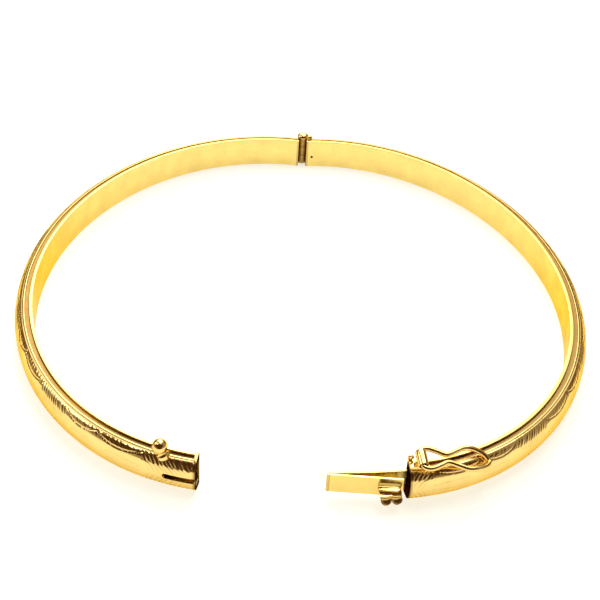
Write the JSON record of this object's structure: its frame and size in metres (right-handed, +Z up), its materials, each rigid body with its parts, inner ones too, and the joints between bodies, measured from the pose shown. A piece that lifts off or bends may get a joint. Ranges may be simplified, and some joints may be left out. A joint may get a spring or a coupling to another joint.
{
  "type": "hinged oval bangle bracelet",
  "caption": "Hinged oval bangle with a half-round hollow band, leaf-engraved outside, push-in tongue clasp with a thumb lug, and a figure-eight safety catch that closes over a ball post.",
  "frame": {"origin": "centre of the part's plan box, on the surface it lies on", "axes": "+Z up out of the oval's plane, +Y towards the hinge, -Y towards the clasp, +X towards the tongue half"},
  "size_m": [0.0618, 0.0644, 0.0054],
  "materials": {
    "engraved_gold": "bright yellow gold, polished, with bright-cut engraving",
    "polished_gold": "polished yellow gold",
    "satin_gold": "softly polished yellow gold inner face",
    "spring_gold": "work-hardened gold strip, light brushing",
    "wire_gold": "drawn and polished gold wire"
  },
  "bodies": {
    "receiver_half": {"receiver_shell": "engraved_gold", "receiver_liner": "satin_gold", "receiver_hinge_plate": "polished_gold", "hinge_knuckle_bottom": "polished_gold", "hinge_knuckle_top": "polished_gold", "hinge_pin": "polished_gold", "hinge_pin_tail": "polished_gold", "receiver_mouth_plate": "polished_gold", "receiver_back_wall": "polished_gold", "ball_post_collar": "polished_gold", "ball_post": "polished_gold"},
    "tongue_half": {"tongue_shell": "engraved_gold", "tongue_liner": "satin_gold", "tongue_hinge_plate": "polished_gold", "hinge_knuckle_centre": "polished_gold", "tongue_end_plate": "polished_gold", "tongue_fixed_leaf": "spring_gold", "catch_base_plate": "polished_gold", "catch_hinge_tube": "polished_gold", "catch_end_eye": "wire_gold"},
    "spring_leaf": {"tongue_sprung_leaf": "spring_gold", "thumb_lug_shelf": "polished_gold", "thumb_lug_front": "polished_gold"},
    "safety_catch": {"figure_eight_wire": "wire_gold"}
  },
  "joints": [
    {"name": "main_hinge", "type": "hinge", "parent": "receiver_half", "child": "tongue_half", "pos_m": [0, 0.03136, 0.00185], "axis": [0, 0, 1], "range_deg": [-17.5, 32.5]},
    {"name": "leaf_press", "type": "hinge", "parent": "tongue_half", "child": "spring_leaf", "pos_m": [0.00239, -0.03054, 0.00185], "axis": [0, 0, 1], "range_deg": [0, 3], "stiffness_Nm_per_rad": 0.6},
    {"name": "catch_swing", "type": "hinge", "parent": "tongue_half", "child": "safety_catch", "pos_m": [0.01049, -0.0299, 0.00465], "axis": [0.1488, -0.9668, -0.2079], "range_deg": [0, 196]}
  ]
}
